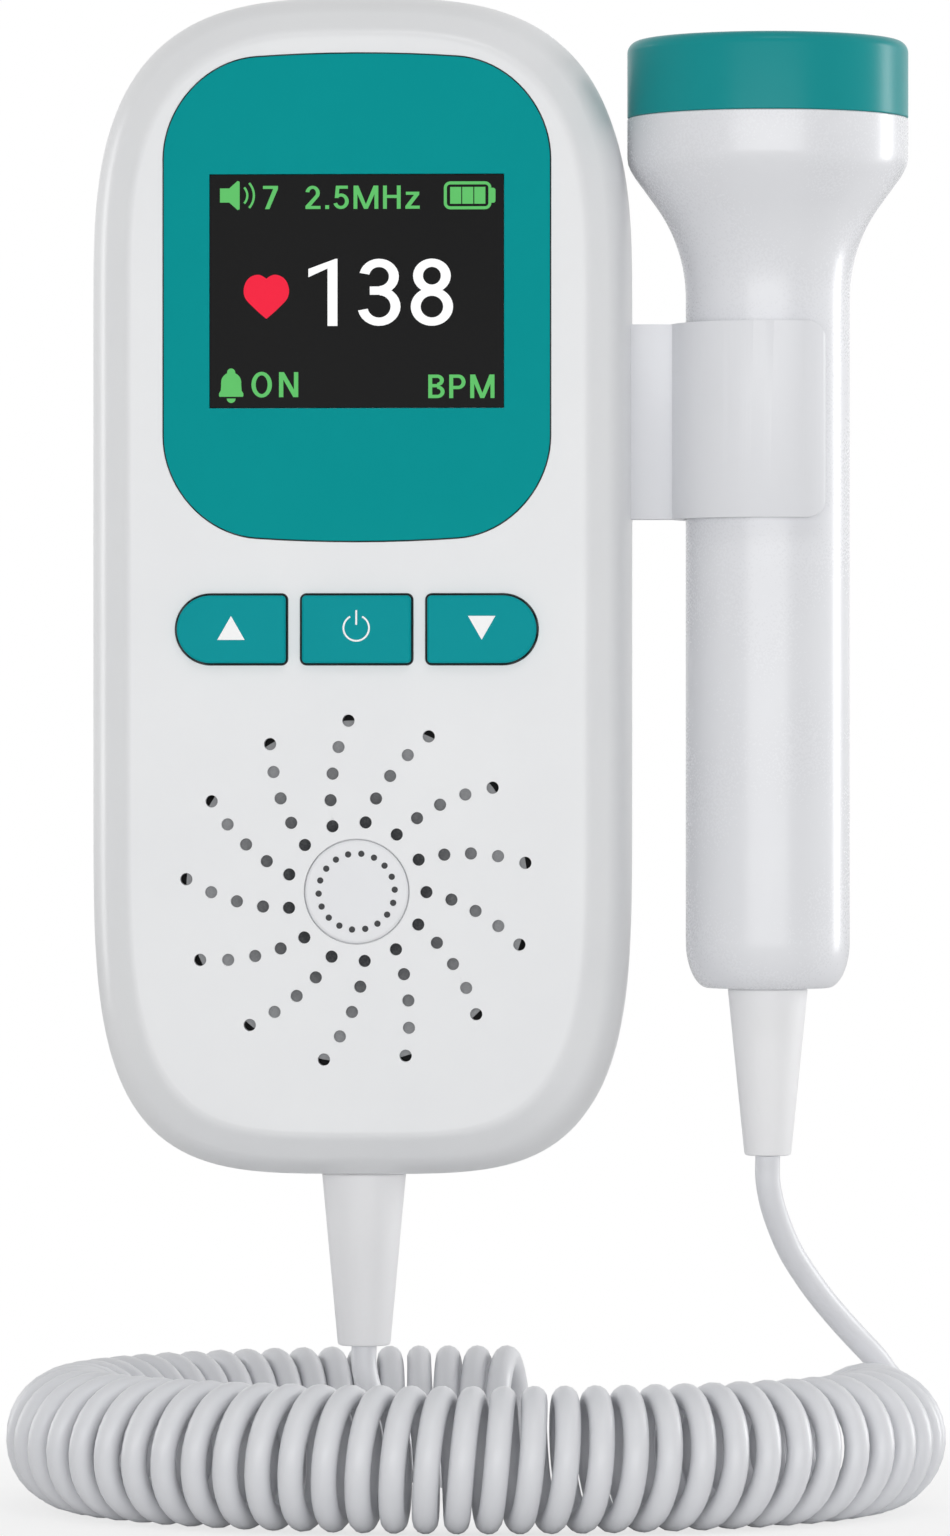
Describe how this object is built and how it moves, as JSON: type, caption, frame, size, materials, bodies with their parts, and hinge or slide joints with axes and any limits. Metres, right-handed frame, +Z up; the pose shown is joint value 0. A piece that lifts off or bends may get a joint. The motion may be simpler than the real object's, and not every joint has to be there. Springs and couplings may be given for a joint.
{
  "type": "fetal doppler monitor",
  "caption": "Hand-held display unit with speaker grille and buttons, and an ultrasound probe in its side clip, joined by a curly cord.",
  "frame": {"origin": "on the rear shell's flat back face, on the housing's centre line and 30 mm above the housing's middle, where the unit is held", "axes": "+Z up along the housing, +Y out of its back so that the display faces -Y, +X towards the probe's side"},
  "size_m": [0.108, 0.0844, 0.1732],
  "materials": {
    "white_housing": "glossy white",
    "white_probe": "glossy white",
    "white_clip": "satin white",
    "white_sleeve": "satin white",
    "cord_white": "satin white, flexible",
    "teal_fascia": "smooth teal",
    "teal_button": "satin teal",
    "teal_cap": "glossy teal",
    "display_black": "glossy black window",
    "lcd_frame": "bright",
    "board_green": "solder mask",
    "switch_black": "matte",
    "gasket_foam": "foam",
    "speaker_metal": "dull",
    "speaker_paper": "matte paper",
    "badge_grey": "satin light grey",
    "tray_grey": "matte",
    "cell_jacket": "printed jacket",
    "contact_steel": "nickel plated",
    "screw_steel": "zinc plated",
    "face_grey": "smooth",
    "crystal_ceramic": "ceramic with silver film",
    "backing_rubber": "loaded resin"
  },
  "bodies": {
    "monitor": {"front_shell": "white_housing", "rear_shell": "white_housing", "fascia_panel": "teal_fascia", "display_window": "display_black", "lcd_module": "lcd_frame", "main_board": "board_green", "key_switches": "switch_black", "speaker_gasket": "gasket_foam", "speaker_frame": "speaker_metal", "speaker_cone": "speaker_paper", "grille_badge": "badge_grey", "battery_tray": "tray_grey", "battery_cells": "cell_jacket", "battery_contacts": "contact_steel", "case_screws": "screw_steel", "probe_clip": "white_clip", "monitor_sleeve": "white_sleeve", "monitor_lead": "cord_white", "curly_cord": "cord_white"},
    "volume_up": {"volume_up_button": "teal_button"},
    "power": {"power_button": "teal_button"},
    "volume_down": {"volume_down_button": "teal_button"},
    "cover": {"battery_cover": "white_housing"},
    "probe": {"probe_shell": "white_probe", "probe_cap": "teal_cap", "probe_face": "face_grey", "probe_crystals": "crystal_ceramic", "probe_backing": "backing_rubber", "probe_board": "board_green", "probe_sleeve": "white_sleeve", "probe_lead": "cord_white"}
  },
  "joints": [
    {"name": "volume_up_press", "type": "slide", "parent": "monitor", "child": "volume_up", "axis": [0, 1, 0], "range_m": [0, 0.0007], "stiffness_N_per_m": 600},
    {"name": "power_press", "type": "slide", "parent": "monitor", "child": "power", "axis": [0, 1, 0], "range_m": [0, 0.0007], "stiffness_N_per_m": 600},
    {"name": "volume_down_press", "type": "slide", "parent": "monitor", "child": "volume_down", "axis": [0, 1, 0], "range_m": [0, 0.0007], "stiffness_N_per_m": 600},
    {"name": "cover_off", "type": "slide", "parent": "monitor", "child": "cover", "axis": [0, 1, 0], "range_m": [0, 0.015]},
    {"name": "probe_lift", "type": "slide", "parent": "monitor", "child": "probe", "axis": [0, 0, 1], "range_m": [0, 0.08], "deforming": ["probe_lead"]}
  ]
}
